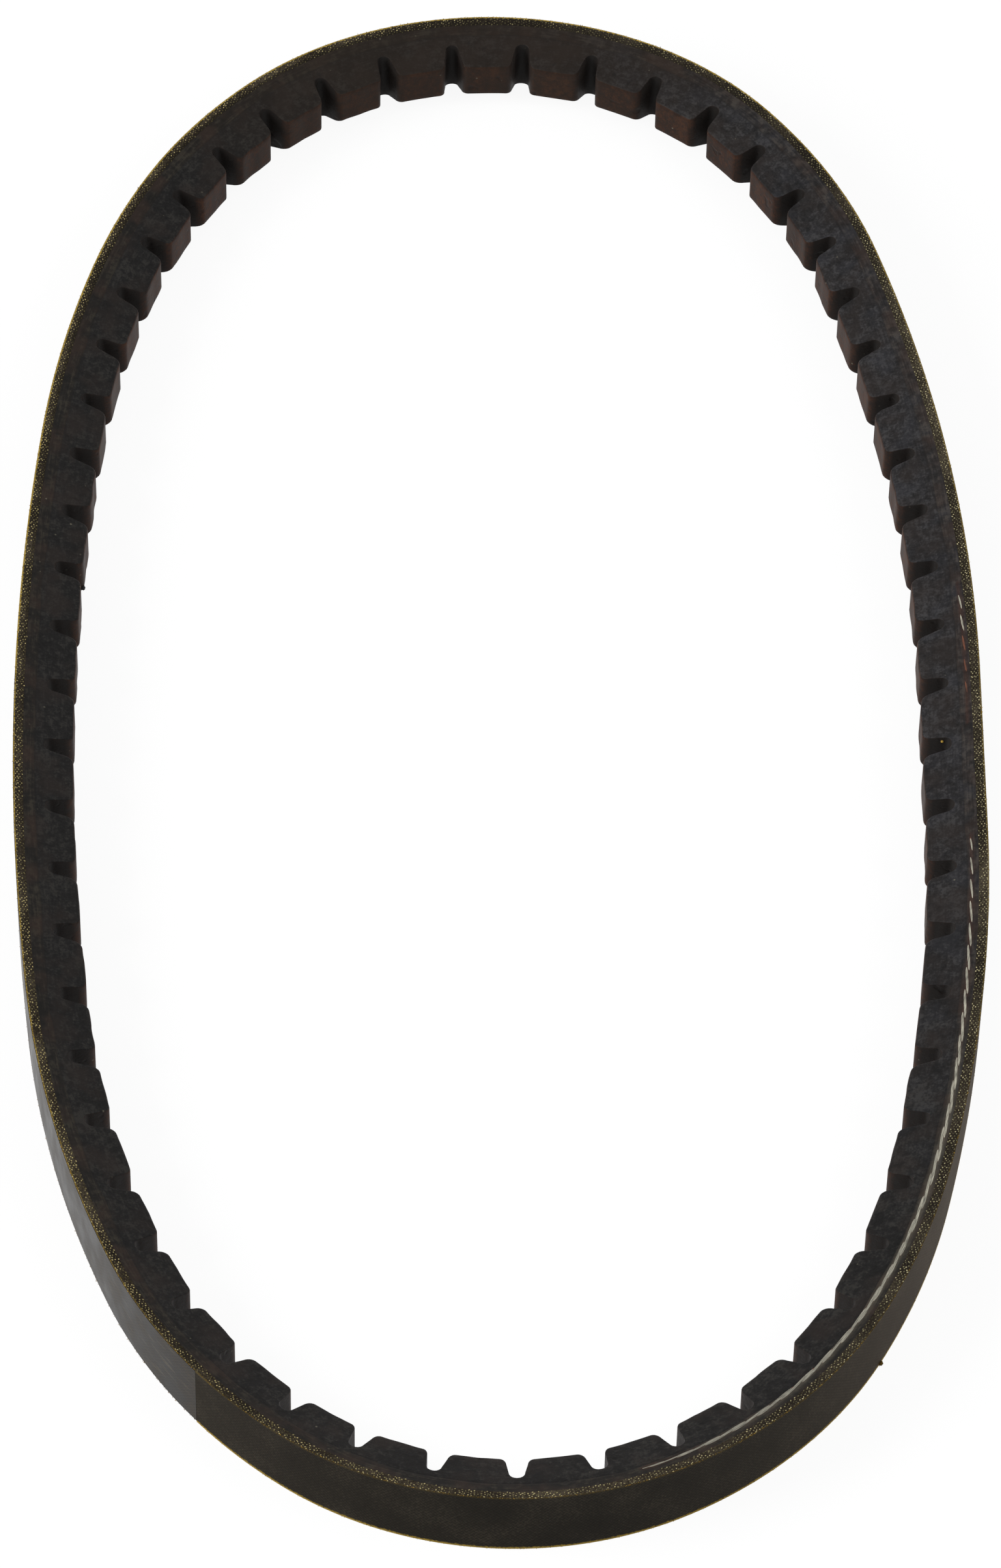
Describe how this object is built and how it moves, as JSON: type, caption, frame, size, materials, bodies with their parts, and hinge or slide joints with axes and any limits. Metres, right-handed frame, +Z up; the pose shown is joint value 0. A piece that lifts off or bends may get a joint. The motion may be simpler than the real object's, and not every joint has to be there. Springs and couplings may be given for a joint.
{
  "type": "v belt",
  "caption": "Raw-edge cogged V-belt with a woven back, wound tension cord and moulded cogs, lying as a relaxed oval loop.",
  "frame": {"origin": "middle of the belt's outline, on the surface that it lies on", "axes": "+Z up across the belt's width, +Y along the loop's long way, +X to the right of the loop seen from above with +Y away from the viewer"},
  "size_m": [0.1608, 0.3302, 0.013],
  "materials": {
    "back_fabric": "woven cotton and polyester rubbed full of black rubber, matt",
    "adhesion_rubber": "ground flank, matt",
    "tension_cord": "twisted polyester cord, off-white where it is cut open",
    "compression_rubber": "ground flanks, moulded brown-black cogs, matt",
    "label_film": "thin grey transfer film, bare"
  },
  "bodies": {
    "root": {"outer_ply": "back_fabric", "middle_ply": "back_fabric", "inner_ply": "back_fabric", "upper_adhesion_rubber": "adhesion_rubber", "tension_cord": "tension_cord", "lower_adhesion_rubber": "adhesion_rubber", "cogged_compression_rubber": "compression_rubber", "blank_label_film": "label_film"}
  },
  "joints": []
}
